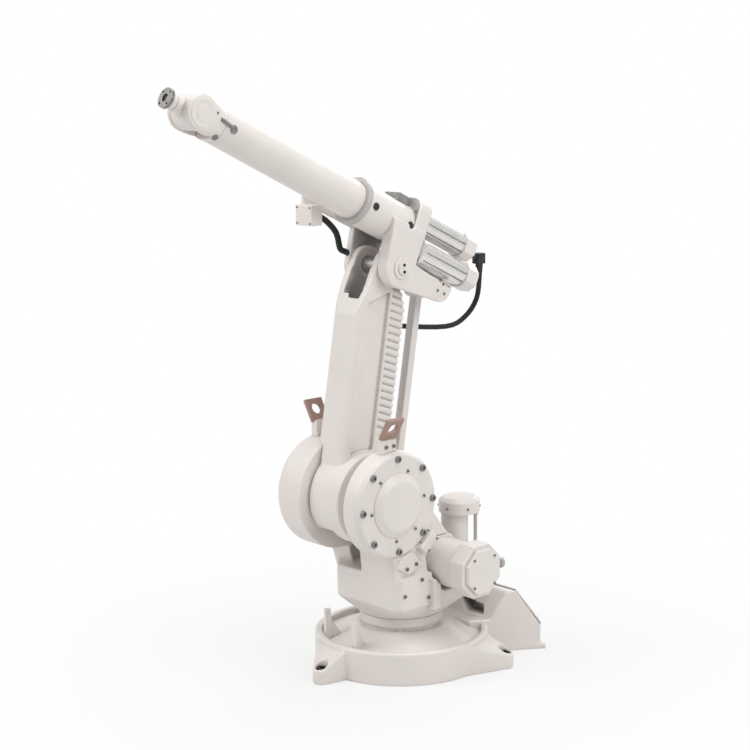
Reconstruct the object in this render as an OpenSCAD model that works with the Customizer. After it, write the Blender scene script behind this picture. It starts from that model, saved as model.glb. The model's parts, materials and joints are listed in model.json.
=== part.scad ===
// Six-axis welding robot arm with a parallel-rod elbow drive.
// Millimetres. Origin on the floor under axis 1, X forward, Y to the arm's left, Z up.
// The arm stands in its rest pose: lower arm leaning back, forearm pitched up, wrist straight.

/* [Reach] */
// Forward offset of axis 2 from axis 1
axis2_x = 150; // [140:1:160]
// Height of axis 2 above the floor
axis2_z = 475; // [465:1:500]
// Axis 2 to elbow
lower_len = 600; // [570:5:660]
// Elbow to the forearm's centre line
elbow_up = 113; // [110:1:122]
// Elbow to wrist centre, measured along the forearm
forearm_len = 720; // [660:5:800]
// Wrist centre to the tool face
wrist_len = 85; // [80:1:100]
// Backward lean of the lower arm at rest, in degrees
lean_back = 10; // [0:1:14]
// Upward pitch of the forearm at rest, in degrees
pitch_up = 25.3; // [12:0.1:30]
// Crank radius of the parallel linkage
crank_len = 158; // [150:1:164]

/* [Base] */
// Radius of the base dish
dish_r = 233; // [225:1:245]
// Height of the dish rim
dish_h = 88; // [80:1:95]
// Thickness of the dish wall
dish_wall = 18; // [12:1:26]
// Height of the floor inside the dish
dish_floor = 68; // [55:1:74]
// Pitch circle of the three floor bolts
foot_pcd = 570; // [560:1:590]
// Radius of a bolt foot
foot_r = 24; // [20:1:30]
// Height of a bolt foot
foot_h = 38; // [32:1:48]
// Floor bolt hole
foot_bore = 18; // [14:1:22]
// Radius of the axis 1 gear hub in the dish
hub_r = 104; // [95:1:110]
// Height of the axis 1 gear hub
hub_top = 118; // [112:1:122]
// Height of a stop post above the dish floor
post_h = 88; // [60:1:95]
// Thickness of a stop post
post_t = 16; // [10:1:20]

/* [Rear housing] */
// Rear face, behind axis 1
rear_x = 322; // [315:1:335]
// Half width at the rear face
rear_half = 214; // [200:1:225]
// Half width where the housing joins the dish
root_half = 116; // [100:1:130]
// Height of the housing's crest
rear_top = 170; // [155:1:174]
// Height of the upright part of the rear face
rear_low = 68; // [60:1:90]
// Thickness of the foot plate
plate_t = 16; // [12:1:22]
// Thickness of the sloping cover
cover_t = 6; // [4:1:10]
// Thickness of its gasket
gasket_t = 3; // [2:0.5:5]

/* [Turret] */
// Radius of the turning ring
ring_r = 112; // [108:1:120]
// Thickness of the turning ring
ring_t = 22; // [16:1:26]
// Height of the turret's deck
deck_z = 275; // [262:1:277]
// Front edge of the turret
turret_front = 150; // [144:1:158]
// Inner face of the cheek on the left
cheek_in = 92; // [88:1:98]
// Outer face of the cheek on the left
cheek_out = 140; // [130:1:146]
// Radius of the axis 2 gearbox
gear2_r = 140; // [132:1:146]
// Outer face of the axis 2 gearbox
gear2_face = 152; // [148:1:160]
// Radius of the raised cover on it
cover2_r = 78; // [68:1:88]
// Height of that cover
cover2_t = 14; // [8:1:20]
// Radius of the axis 3 gearbox
gear3_r = 150; // [142:1:156]
// Inner face of the axis 3 gearbox, to the right of the centre plane
gear3_in = 62; // [61:0.5:66]
// Depth of the axis 3 gearbox
gear3_t = 102; // [90:1:112]
// Edge rounding of the axis 3 gearbox
gear3_round = 30; // [15:1:40]

/* [Motors] */
// Forward place of the axis 2 and 3 motors, from axis 1
side_motor_x = -45; // [-55:1:-38]
// Height of the axis 2 and 3 motors
side_motor_z = 285; // [280:1:292]
// Width over the flats of their caps
side_cap_w = 138; // [128:1:142]
// Length of their bodies
side_motor_len = 108; // [90:1:120]
// Length of their caps
side_cap_len = 60; // [46:1:66]
// Axis 1 motor, backward from axis 1
motor1_x = -181; // [-188:1:-178]
// Axis 1 motor, to the left
motor1_y = 41; // [38:1:46]
// Radius of the axis 1 motor's cap
motor1_r = 56; // [50:1:58]
// Height of its top
motor1_top = 424; // [400:1:430]
// Length of its cap
motor1_cap = 42; // [30:1:60]

/* [Lifting lugs] */
// Forward place of the lugs, from axis 2
lug_x = 14; // [6:1:20]
// Place of the lugs to each side of the centre plane
lug_y = 130; // [122:1:134]
// Height of a lug's foot on its gearbox
lug_foot_h = 34; // [28:1:40]
// Width of a lug plate
lug_w = 56; // [48:1:64]
// Height of a lug plate
lug_h = 62; // [54:1:70]
// Thickness of a lug plate
lug_t = 10; // [8:1:14]
// Lifting hole
lug_bore = 30; // [24:1:34]
// Outward lean of a lug plate, in degrees
lug_lean = 30; // [15:1:35]

/* [Lower arm] */
// Front face, ahead of the axis line
arm_front = 94; // [88:1:98]
// Rear edge, behind the axis line
arm_rear = 66; // [58:1:70]
// Left face
arm_left = 24; // [20:1:24]
// Width of the arm
arm_w = 108; // [104:1:110]
// Wall of the channel
arm_wall = 19; // [15:1:19]
// Rounding of the front corners
arm_round = 28; // [18:1:32]
// Radius of the hub at axis 2
arm_hub_r = 120; // [112:1:124]
// Left face of the hub
arm_hub_left = 54; // [46:1:60]
// Radius of the elbow tongues
tongue_r = 50; // [44:1:52]
// Depth of the side panel
panel_d = 11; // [6:0.5:12]
// Spacing of the cross ribs
rib_pitch = 19; // [15:1:24]
// Depth of the grooves between the ribs
rib_depth = 5; // [2:0.5:7]

/* [Linkage] */
// Width of the rod's bar
rod_w = 22; // [18:1:26]
// Thickness of the rod's eyes, across
rod_t = 29; // [24:1:30]
// Radius of the rod's eyes
eye_r = 30; // [26:1:32]
// Radius of the linkage pins
pin_r = 14; // [11:0.5:17]
// Thickness of a crank cheek
crank_t = 12; // [9:0.5:13]
// Radius of the crank hub
crank_hub_r = 62; // [54:1:64]

/* [Upper arm] */
// Radius of the drive barrel
barrel_r = 56; // [54:1:60]
// Front end of the barrel, ahead of the elbow
barrel_front = 170; // [160:1:185]
// Height of the rear block above the barrel's centre line
flange_r = 82; // [76:1:86]
// Rear face of the rear block, behind the elbow
flange_rear = 46; // [42:1:52]
// Thickness of the rear block
flange_t = 45; // [40:1:48]
// Radius of the elbow lugs
lug_r = 52; // [48:1:54]
// Outer face of the left elbow lug
fork_left = 64; // [60:1:68]
// Thickness of the right elbow lug
fork_right_t = 18; // [14:1:24]
// Thickness of the ear plate
ear_t = 20; // [14:1:24]
// Radius of the elbow shaft
elbow_r = 22; // [18:1:26]
// Radius of the rear motors
rear_motor_r = 35; // [31:1:37]
// Length of the rear motors
rear_motor_len = 178; // [150:1:190]
// Length of their caps
rear_cap_len = 46; // [34:1:60]

/* [Forearm] */
// Radius of the forearm at the barrel
tube_r = 50; // [46:1:52]
// Radius of the forearm at the wrist
tube_tip_r = 46; // [43:1:47]
// Radius of the wrist discs
disc_r = 44; // [40:1:45]
// Half width over the wrist
wrist_half = 42; // [39:1:45]
// Thickness of a wrist tine
tine_t = 12; // [9:1:14]
// Radius of the tool flange
tool_r = 25; // [24:1:30]
// Pitch circle of the tool bolts
tool_pcd = 40; // [36:1:42]
// Tool bolt hole
tool_bore = 6; // [4:0.5:7]
// Radius of the tool flange's pilot bore
pilot_r = 10; // [8:0.5:12]
// Depth of the pilot bore
pilot_d = 6; // [4:0.5:8]

/* [Clearances] */
// Gap between turning faces
run_gap = 0.3; // [0.2:0.05:0.5]
// Free space beside swinging pieces
swing_gap = 6; // [5:0.5:7]

/* [Hidden] */
$fn = 96;
paint = "whitesmoke";
steel = "silver";
bronze = "saddlebrown";
black = "black";

// Right face of the lower arm, and the channel inside it
arm_right = arm_left - arm_w;
chan_left = arm_left - arm_wall;
chan_right = arm_right + arm_wall;
// Middle plane of the linkage
link_y = (chan_left + chan_right) / 2;
// Inner faces of the elbow fork
fork_in_left = arm_left + 2;
fork_in_right = arm_right - 2;
fork_right = fork_in_right - fork_right_t;
// Lowest point of the turning ring
ring_z = hub_top + run_gap;
turret_z = ring_z + ring_t;
// Radius that the crank and its eye sweep
crank_sweep = crank_len + eye_r + swing_gap;
// Mounting faces of the side motors
motor2_y = cheek_in + 8;
motor3_y = gear3_in + 34;

// Solid end of the forearm, clear of the wrist
fork_root = forearm_len - disc_r - 26;

// Plugs in the barrel's left side
plug_places = [10, barrel_front - 30];
plug_r = 9;

// Rear motors, across and up from the barrel's centre line, and the lowest point of them
rear_motor_places = [[0, 34], [40, -48], [-40, -48]];
motor_low = elbow_up - 48 - rear_motor_r - 2;
// Rear face of the bridge behind the rod's upper eye
bridge_x = crank_len + eye_r + 8;

// Elbow plug behind the top motor
conn_x = -flange_rear - rear_motor_len - rear_cap_len - 34;
conn_y = 14;
conn_z = elbow_up + 25;

// Signal box beside the forearm, and its bracket
box_x = 238;
box_z = 15;
box_d = 36;
box_h = 52;
box_y = -44;
box_w = 62;
bracket_y = fork_right + 4;
bracket_z = 74;

// Front cable and its glands
cable_r = 8;
gland_r = 11;
front_y = fork_in_right - fork_right_t / 2;
box_out = 22;
lug_out_z = 10;
lug_out_x = lug_r + 16;

// Rear cable and its gland
rear_cable_r = 7;
gland_z = lower_len - 148;
gland_y = arm_right + arm_wall / 2;

// Directions along the arms, and world places of points in their frames
function along(a, x, z) = [x * cos(a) - z * sin(a), 0, x * sin(a) + z * cos(a)];
function along_upper(x, z = 0) = along(pitch_up, x, z);
function along_lower(x, z = 0) = along(lean_back, x, z);
elbow = [axis2_x, 0, axis2_z] + along_lower(0, lower_len);
function from_upper(p) = elbow + along_upper(p[0], p[2]) + [0, p[1], 0];
function from_lower(p) = [axis2_x, 0, axis2_z] + along_lower(p[0], p[2]) + [0, p[1], 0];

// Front cable's route: from the signal box back to the right elbow lug
front_start = from_upper([box_x, front_y, box_z]) + [-box_d - 10, 0, box_out];
front_end = from_upper([lug_out_x, front_y, lug_out_z]);
front_route = [
    front_start, front_start + [-14, 0, -1], front_start + [-45, 0, -16], front_start + [-80, 0, -50],
    front_end + along_upper(16, 2), front_end
];

// Rear cable's route: from the plug behind the top motor, in a loop down to the lower arm's right wall
rear_start = from_upper([conn_x, conn_y, conn_z]) + [0, 0, -26];
rear_end = from_lower([-arm_rear - 14, gland_y, gland_z]);
rear_route = [
    rear_start, rear_start + [-3, -2, -22], rear_start + [-6, -16, -86], rear_start + [18, -38, -136],
    rear_start + [72, -56, -158], rear_end + along_lower(-70, -4) + [0, 4, 0],
    rear_end + along_lower(-16), rear_end
];

// Lower arm frame: origin on axis 2, Z along the arm to the elbow
module at_lower_arm() {
    translate([axis2_x, 0, axis2_z]) rotate([0, -lean_back, 0]) children();
}

// Upper arm frame: origin on the elbow, X along the forearm
module at_upper_arm() {
    at_lower_arm() translate([0, 0, lower_len]) rotate([0, lean_back - pitch_up, 0]) children();
}

// Cylinder along Y from y0 to y1
module y_rod(r, y0, y1) {
    translate([0, y1, 0]) rotate([90, 0, 0]) cylinder(r = r, h = y1 - y0);
}

// Cylinder along X from x0 to x1, tapering from r0 to r1
module x_rod(r0, x0, x1, r1 = undef) {
    translate([x0, 0, 0]) rotate([0, 90, 0]) cylinder(r1 = r0, r2 = is_undef(r1) ? r0 : r1, h = x1 - x0);
}

// Outline drawn in X and Z, carried along Y from y0 to y1
module y_plate(y0, y1) {
    translate([0, y1, 0]) rotate([90, 0, 0]) linear_extrude(y1 - y0) children();
}

// Two circles joined by their outer tangents: r1 at the origin, r2 at distance d along +X
module tangent_link(r1, r2, d) {
    a = acos((r1 - r2) / d);
    in1 = r1 - 0.4;
    in2 = r2 - 0.4;
    circle(r1);
    translate([d, 0]) circle(r2);
    polygon([
        in1 * [cos(a), sin(a)], in1 * [cos(a), -sin(a)],
        [d, 0] + in2 * [cos(a), -sin(a)], [d, 0] + in2 * [cos(a), sin(a)]
    ]);
}

// Rectangle with chamfered corners, centred on the origin
module chamfered(w, d, c) {
    polygon([
        [w / 2 - c, -d / 2], [w / 2, -d / 2 + c], [w / 2, d / 2 - c], [w / 2 - c, d / 2],
        [-w / 2 + c, d / 2], [-w / 2, d / 2 - c], [-w / 2, -d / 2 + c], [-w / 2 + c, -d / 2]
    ]);
}

// Base

module foot_positions() {
    for (a = [0, 120, 240]) rotate([0, 0, a]) translate([foot_pcd / 2, 0, 0]) children();
}

// Flared web from the dish rim down to a bolt foot, drawn out along the wall to one side
module foot_web() {
    hull() {
        translate([foot_pcd / 2, 0, 0]) cylinder(r = foot_r, h = foot_h, $fn = 32);
        for (a = [-27, -9, 7]) rotate([0, 0, a]) translate([dish_r - dish_wall / 2, 0, 0])
            cylinder(r = dish_wall / 2 - 2, h = dish_h - 8, $fn = 16);
    }
}

module base_casting() color(paint) difference() {
    union() {
        rotate_extrude() polygon([
            [0, 0], [dish_r, 0], [dish_r, dish_h - 3], [dish_r - 3, dish_h], [dish_r - dish_wall, dish_h],
            [dish_r - dish_wall, dish_floor], [hub_r + 16, hub_top - 12], [hub_r, hub_top - 12],
            [hub_r, hub_top], [0, hub_top]
        ]);
        for (a = [0, 120, 240]) rotate([0, 0, a]) foot_web();
    }
    // Bolt holes, each with a pocket for the bolt's head
    foot_positions() {
        translate([0, 0, -1]) cylinder(d = foot_bore, h = foot_h + 2);
        translate([0, 0, foot_h - 6]) cylinder(r = foot_r - 7, h = dish_h);
    }
    rear_block(run_gap);
}

module stop_posts() color(paint) {
    post_r = dish_r - dish_wall - run_gap;
    for (a = [-27, 11]) rotate([0, 0, a]) difference() {
        union() {
            translate([post_r - post_t - 2, -post_t / 2, dish_floor]) cube([post_t, post_t, post_h]);
            translate([post_r - post_t - 1, 0, dish_floor]) y_plate(-post_t / 4, post_t / 4)
                polygon([[-post_h * 0.5, 0], [0, 0], [0, post_h * 0.7]]);
        }
        // Seat on the rising floor
        rotate([0, 0, -a]) rotate_extrude() polygon([
            [0, 0], [dish_r - dish_wall + 5, 0], [dish_r - dish_wall, dish_floor + run_gap],
            [hub_r + 16, hub_top - 12 + run_gap], [0, hub_top - 12 + run_gap]
        ]);
    }
}

// Rear housing of the base, widening backward; grown by g for the seat in the dish
module rear_block(g) {
    root_x = dish_r * 0.62;
    crest_x = rear_x - 62;
    brow_x = crest_x - 24;
    intersection() {
        y_plate(-rear_half - g, rear_half + g) polygon([
            [-root_x + g, -1], [-root_x + g, dish_floor + g + 26], [-brow_x + 40 + g, dish_floor + g + 26],
            [-brow_x + g, rear_top + g], [-crest_x, rear_top + g], [-rear_x, rear_low + g], [-rear_x - g, -1]
        ]);
        linear_extrude(rear_top + 1 + g) polygon([
            [-root_x + g, -root_half - g], [-root_x + g, root_half + g],
            [-rear_x - g, rear_half + g], [-rear_x - g, -rear_half - g]
        ]);
    }
}

module rear_housing() color(paint) {
    difference() {
        intersection() {
            rear_block(0);
            translate([-rear_x - 1, -rear_half - 1, 0]) cube([rear_x + 1, 2 * rear_half + 2, rear_top + 2]);
        }
        // Cable opening in the front slope
        translate([-rear_x + 76, 0, 0]) rotate([90, 0, 90]) linear_extrude(64) polygon([
            [root_half * 0.12, rear_top - 40], [root_half * 0.87, rear_top - 46],
            [root_half * 0.97, rear_top - 71], [root_half * 0.39, rear_top - 72]
        ]);
    }
    // Foot plate along the rear
    linear_extrude(plate_t) polygon([
        [-dish_r - 8, -rear_half * 0.76], [-dish_r - 8, rear_half * 0.76],
        [-rear_x - 8, rear_half + 11], [-rear_x - 8, -rear_half - 11]
    ]);
}

// Sloping plate on the back of the rear housing: lower face at height h above the slope
module slope_plate(h, t) {
    crest_x = rear_x - 62;
    drop = rear_top - rear_low;
    run = rear_x - crest_x;
    slope_len = sqrt(drop * drop + run * run);
    tilt = atan2(drop, run);
    translate([-crest_x, 0, rear_top]) rotate([0, -tilt, 0]) translate([-slope_len, 0, h])
        linear_extrude(t) polygon([
            [0, -rear_half + 4], [0, rear_half - 4],
            [slope_len - 2, rear_half * 0.8], [slope_len - 2, -rear_half * 0.8]
        ]);
}

module rear_gasket() color(black) slope_plate(0, gasket_t);

module rear_cover() color(paint) slope_plate(gasket_t, cover_t);

module cable_sockets() color(steel) {
    socket_d = rear_low * 0.59;
    for (s = [-1, 1]) translate([-rear_x, s * rear_half * 0.3, plate_t + socket_d * 0.55])
        rotate([0, -90, 0]) difference() {
            cylinder(d = socket_d, h = socket_d * 0.35);
            translate([0, 0, socket_d * 0.15]) cylinder(d = socket_d * 0.75, h = socket_d);
        }
}

// Turret

module turning_ring() color(steel) translate([0, 0, ring_z]) cylinder(r = ring_r, h = ring_t);

module turret_bucket() {
    top_left = cheek_out + 8;
    top_right = gear3_in + 56;
    hull() {
        translate([0, 0, turret_z]) cylinder(r = ring_r - 1, h = 1, $fn = 32);
        translate([0, 0, turret_z + 50]) linear_extrude(deck_z - turret_z - 50) polygon([
            [turret_front, -top_right + 30], [turret_front, top_left - 18], [turret_front - 18, top_left],
            [-110, top_left], [-150, top_left - 40], [-150, -top_right + 30], [-120, -top_right],
            [turret_front - 30, -top_right]
        ]);
    }
}

// Web from a gearbox down and back to its motor
module gear_web(y0, y1, r1, r2) {
    dx = side_motor_x - axis2_x;
    dz = side_motor_z - axis2_z;
    translate([axis2_x, 0, axis2_z]) y_plate(y0, y1)
        rotate(atan2(dz, dx)) tangent_link(r1, r2, sqrt(dx * dx + dz * dz));
}

module turret_frame() color(paint) difference() {
    union() {
        turret_bucket();
        // Cheek on the left, behind the axis 2 gearbox
        y_plate(cheek_in, cheek_out) polygon([
            [side_motor_x + 76, deck_z - 20], [turret_front - 6, deck_z - 20],
            [turret_front + 6, axis2_z - 110],
            [axis2_x + 20, axis2_z], [axis2_x - 80, axis2_z], [side_motor_x + 86, deck_z + 50]
        ]);
        gear_web(cheek_in, motor2_y + 14, 96, 62);
        // Front web that closes the bucket below the axis 2 gearbox
        y_plate(chan_left + 3, cheek_out - 2) polygon([
            [turret_front - 70, deck_z - 20], [turret_front - 1, deck_z - 20],
            [turret_front + 8, axis2_z - gear2_r + 12], [turret_front - 70, axis2_z - gear2_r + 12]
        ]);
        // Raised pad and junction block on the gear cover, and the bracket below the motor
        y_plate(cheek_out - 2, cheek_out + 7) polygon([
            [turret_front + 4, deck_z + 36], [turret_front - 40, deck_z + 72],
            [side_motor_x + 132, deck_z + 62],
            [side_motor_x + 104, deck_z + 26], [turret_front - 44, deck_z + 8]
        ]);
        y_plate(cheek_in + 8, cheek_out + 20) translate([side_motor_x + 96, side_motor_z + 82])
            rotate(-40) chamfered(58, 50, 9);
        translate([side_motor_x + 53, cheek_out - 30, turret_z + 34]) cube([28, 54, deck_z - turret_z - 50]);
        // Cheek on the right, behind the axis 3 gearbox
        y_plate(-gear3_in - 74, -gear3_in - 1) polygon([
            [-92, deck_z - 20], [turret_front - 39, deck_z - 20], [turret_front - 2, axis2_z - 95],
            [axis2_x, axis2_z], [axis2_x - 90, axis2_z], [-60, deck_z + 40]
        ]);
        gear_web(-gear3_in - 74, -gear3_in - 1, 100, 62);
        // Rear deck under the axis 1 motor
        translate([motor1_x - motor1_r - 6, motor1_y - motor1_r - 14, rear_top + 18])
            cube([140, 2 * motor1_r + 26, deck_z - rear_top - 18]);
    }
    // Seats of the two gearboxes
    translate([axis2_x, 0, axis2_z]) y_rod(gear2_r - 14, cheek_in - 1, cheek_out + 1);
    translate([axis2_x, 0, axis2_z]) y_rod(gear2_r + run_gap, cheek_in + 6 - run_gap, cheek_out + 40);
    translate([axis2_x, 0, axis2_z]) y_rod(gear3_r + run_gap, -gear3_in - 75, -gear3_in);
    // Room for the crank and the rod
    translate([axis2_x, 0, axis2_z]) y_rod(crank_sweep, -gear3_in, chan_left + 3);
    translate([axis2_x, 0, axis2_z]) y_rod(arm_hub_r + swing_gap, chan_left, cheek_in);
    // Seats of the side motors
    translate([side_motor_x, motor2_y, side_motor_z]) rotate([-90, 0, 0])
        linear_extrude(100) chamfered(side_cap_w + 1, side_cap_w + 1, 40);
    translate([side_motor_x, -motor3_y, side_motor_z]) rotate([90, 0, 0])
        linear_extrude(100) chamfered(side_cap_w + 1, side_cap_w + 1, 40);
}

module axis2_gearbox() color(paint) translate([axis2_x, 0, axis2_z]) difference() {
    translate([0, cheek_in, 0]) rotate([-90, 0, 0]) rotate_extrude() polygon([
        [0, 0], [gear2_r - 14 - run_gap, 0], [gear2_r - 14 - run_gap, 6], [gear2_r, 6],
        [gear2_r, gear2_face - cheek_in - 12], [gear2_r - 10, gear2_face - cheek_in],
        [0, gear2_face - cheek_in]
    ]);
}

module axis2_cover() color(paint) translate([axis2_x, gear2_face, axis2_z]) rotate([-90, 0, 0])
    rotate_extrude() polygon([
        [0, 0], [cover2_r + 6, 0], [cover2_r + 6, 2], [cover2_r - 14, cover2_t], [0, cover2_t]
    ]);

module axis3_gearbox() color(paint) translate([axis2_x, -gear3_in, axis2_z]) rotate([90, 0, 0])
    rotate_extrude() union() {
        square([gear3_r - gear3_round, gear3_t]);
        square([gear3_r, gear3_t - gear3_round]);
        translate([gear3_r - gear3_round, gear3_t - gear3_round]) intersection() {
            circle(gear3_round);
            square(gear3_round);
        }
    }

module axis3_cover() color(paint) translate([axis2_x, -gear3_in - gear3_t, axis2_z]) rotate([90, 0, 0])
    rotate_extrude() polygon([
        [0, 0], [cover2_r, 0], [cover2_r, cover2_t - 5], [cover2_r - 5, cover2_t], [0, cover2_t]
    ]);

// Motor beside the turret, its shaft along +Y from the plane y0
module side_motor_body(y0) {
    translate([side_motor_x, y0, side_motor_z]) rotate([-90, 0, 0]) {
        linear_extrude(14) chamfered(side_cap_w, side_cap_w, 40);
        translate([0, 0, 13]) cylinder(r = side_cap_w / 2 - 6, h = side_motor_len - 13);
    }
}

module side_motor_cap(y0) {
    translate([side_motor_x, y0 + side_motor_len, side_motor_z]) rotate([-90, 0, 0]) {
        linear_extrude(side_cap_len - 12) chamfered(side_cap_w, side_cap_w, 40);
        translate([0, 0, side_cap_len - 12]) linear_extrude(12)
            chamfered(side_cap_w - 22, side_cap_w - 22, 36);
    }
}

module axis2_motor() color(paint) side_motor_body(motor2_y);

module axis2_motor_cap() color(paint) side_motor_cap(motor2_y);

module axis3_motor() color(paint) mirror([0, 1, 0]) side_motor_body(motor3_y);

module axis3_motor_cap() color(paint) mirror([0, 1, 0]) side_motor_cap(motor3_y);

// The axis 1 motor stands off its cap's centre, by this much forward and to the right
module at_motor1() {
    translate([motor1_x + motor1_r * 0.16, motor1_y - motor1_r * 0.16, deck_z]) children();
}

module axis1_motor() color(paint) at_motor1() {
    cylinder(r = motor1_r * 0.78, h = 14);
    cylinder(r = motor1_r * 0.66, h = motor1_top - motor1_cap - deck_z);
}

module axis1_motor_cap() color(paint) translate([motor1_x, motor1_y, motor1_top - motor1_cap])
    rotate_extrude() polygon([
        [0, 0], [motor1_r, 0], [motor1_r, motor1_cap - 10], [motor1_r - 10, motor1_cap], [0, motor1_cap]
    ]);

// Cable conduit from the deck up to the axis 1 motor's cap
module axis1_connector() color(steel) translate([motor1_x, motor1_y, deck_z]) rotate([0, 0, 135])
    translate([motor1_r - 12, 0, 0]) {
        cylinder(r = 10, h = 12);
        cylinder(r = 5, h = motor1_top - motor1_cap - deck_z);
        translate([0, 0, motor1_top - motor1_cap - deck_z - 9]) cylinder(r = 8, h = 9);
    }

// Frame of a lug plate's lower edge on the crown of a gearbox of radius r, leaning to +Y
module at_lug(r) {
    translate([axis2_x + lug_x, lug_y, axis2_z + r + lug_foot_h]) rotate([-lug_lean, 0, 0]) children();
}

module lug_foot(r) {
    difference() {
        translate([axis2_x + lug_x - lug_w / 2 + 4, lug_y - 14, axis2_z + r - 8])
            cube([lug_w - 8, 22, lug_foot_h + 20]);
        at_lug(r) translate([-lug_w, -lug_w, 0]) cube([2 * lug_w, 2 * lug_w, lug_w]);
        translate([axis2_x, 0, axis2_z]) y_rod(r + run_gap, 0, lug_y + 40);
    }
}

module lug_plate(r) {
    at_lug(r) difference() {
        translate([-lug_w / 2, -lug_t / 2, 0]) cube([lug_w, lug_t, lug_h]);
        translate([0, 0, lug_h - lug_w / 2]) y_rod(lug_bore / 2, -lug_t, lug_t);
    }
}

module lug_feet() color(paint) {
    lug_foot(gear2_r);
    mirror([0, 1, 0]) lug_foot(gear3_r);
}

module left_lifting_lug() color(bronze) lug_plate(gear2_r);

module right_lifting_lug() color(bronze) mirror([0, 1, 0]) lug_plate(gear3_r);

// Lower arm

// Side outline of the lower arm, in X and Z
module arm_side() {
    polygon([
        [-arm_rear, gear3_r - 20], [arm_front, 0], [arm_front, lower_len - 132],
        [arm_front - 36, lower_len - 14], [tongue_r - 6, lower_len + 12],
        [-tongue_r * 0.5, lower_len + 12], [-tongue_r * 0.5, lower_len],
        [-arm_rear, lower_len - 102]
    ]);
    translate([0, lower_len]) circle(tongue_r);
}

// Cross section of the lower arm, in X and Y, round at the front
module arm_section() {
    difference() {
        translate([-arm_rear - 10, arm_right]) square([arm_rear + arm_front + 10, arm_w]);
        for (c = [[arm_left - arm_round, 0], [arm_right + arm_round, 1]])
            translate([arm_front - arm_round, c[0]]) mirror([0, c[1]]) difference() {
                square(arm_round + 1);
                circle(arm_round);
            }
    }
}

module lower_arm_casting() color(paint) at_lower_arm() difference() {
    union() {
        intersection() {
            y_plate(arm_right, arm_left) arm_side();
            linear_extrude(lower_len + 2 * tongue_r) arm_section();
        }
        // Hub and output flange at axis 2
        y_rod(arm_hub_r, -gear3_in + swing_gap, arm_hub_left);
        y_rod(arm_hub_r - 38, arm_hub_left - 1, cheek_in - run_gap);
    }
    // Channel open to the rear, for the rod
    translate([-arm_rear - 20, chan_right, -arm_hub_r - 1]) cube([
        arm_rear + 20 + arm_front - arm_wall, arm_w - 2 * arm_wall, arm_hub_r + lower_len + 2 * tongue_r
    ]);
    // Front of the hub runs past the axis as a shell round the crank
    y_rod(crank_hub_r + swing_gap, -gear3_in - 1, chan_left);
    translate([-arm_hub_r - 1, -gear3_in - 1, -arm_hub_r - 1])
        cube([arm_hub_r + 2, gear3_in + 1 + chan_left, 2 * arm_hub_r + 2]);
    // Clear of the axis 3 gearbox
    y_rod(gear3_r + swing_gap, arm_right - 1, -gear3_in + swing_gap);
    // Window in the front wall, below the elbow
    translate([arm_rear, 0, lower_len]) rotate([90, 0, 90]) linear_extrude(arm_front) polygon([
        [arm_left - 64, -90], [arm_left - 23, -90], [arm_left - 13, -4], [arm_left - 77, -4]
    ]);
    // Elbow bore
    translate([0, 0, lower_len]) y_rod(elbow_r + run_gap, arm_right - 1, arm_left + 1);
    // Panel in the left wall, ahead of the ribs, from the hub up to the elbow
    y_plate(arm_left - panel_d, arm_left + 1) difference() {
        polygon([
            [-10, arm_hub_r - 20], [arm_front - arm_round - 2, arm_hub_r - 40],
            [arm_front - arm_round - 2, lower_len - 100], [-10, lower_len - 62]
        ]);
        circle(arm_hub_r + 3);
    }
    // Grooves between the cross ribs on the left wall
    for (i = [0 : floor((lower_len - 230) / rib_pitch)])
        translate([-arm_rear - 2, arm_left - rib_depth, 172 + i * rib_pitch]) rotate([0, -lean_back, 0])
            cube([arm_rear - 12, rib_depth + 1, rib_pitch * 0.45]);
}

module elbow_shaft() color(steel) at_lower_arm() translate([0, 0, lower_len])
    y_rod(elbow_r, fork_right, fork_left - run_gap);

// Parallel linkage

module crank_lever() color(paint) at_lower_arm() rotate([0, lean_back - pitch_up, 0]) difference() {
    union() {
        y_rod(crank_hub_r - 16, -gear3_in + run_gap, link_y + rod_t / 2 + crank_t);
        for (y0 = [link_y - rod_t / 2 - crank_t - run_gap, link_y + rod_t / 2 + run_gap])
            y_plate(y0, y0 + crank_t) mirror([1, 0]) tangent_link(crank_hub_r, eye_r, crank_len);
    }
    translate([-crank_len, 0, 0]) y_rod(pin_r + run_gap, -gear3_in - 1, chan_left);
}

module at_crank_pin() {
    at_lower_arm() rotate([0, lean_back - pitch_up, 0]) translate([-crank_len, 0, 0]) children();
}

module crank_pin() color(steel) at_crank_pin()
    y_rod(pin_r, link_y - rod_t / 2 - crank_t, link_y + rod_t / 2 + crank_t);

module linkage_rod() color(paint) at_crank_pin() rotate([0, pitch_up - lean_back, 0]) difference() {
    union() {
        for (z = [0, lower_len]) translate([0, 0, z])
            y_rod(eye_r, link_y - rod_t / 2, link_y + rod_t / 2);
        translate([-rod_w / 2, link_y - rod_t / 2 + 1, 0]) cube([rod_w, rod_t - 2, lower_len]);
    }
    for (z = [0, lower_len]) translate([0, 0, z]) y_rod(pin_r + run_gap, link_y - rod_t, link_y + rod_t);
}

// Upper arm

module at_barrel() {
    at_upper_arm() translate([0, 0, elbow_up]) children();
}

// Outline of an elbow lug with its web up to the barrel
module lug_side() {
    circle(lug_r);
    polygon([
        [-lug_r * 0.84, lug_r * 0.5], [0, 0], [lug_r, 0], [lug_r + 24, elbow_up],
        [-flange_rear + 2, elbow_up], [-flange_rear + 2, lug_r * 0.6]
    ]);
}

// Outline of the ear plate, its upper edge below the motors and falling to the rear
module ear_plate_side() {
    difference() {
        mirror([1, 0]) tangent_link(lug_r, eye_r + 4, crank_len);
        polygon([
            [-flange_rear + 6, 90], [-flange_rear + 6, motor_low - 2], [-crank_len - 60, motor_low - 18],
            [-crank_len - 60, 90]
        ]);
    }
}

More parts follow.
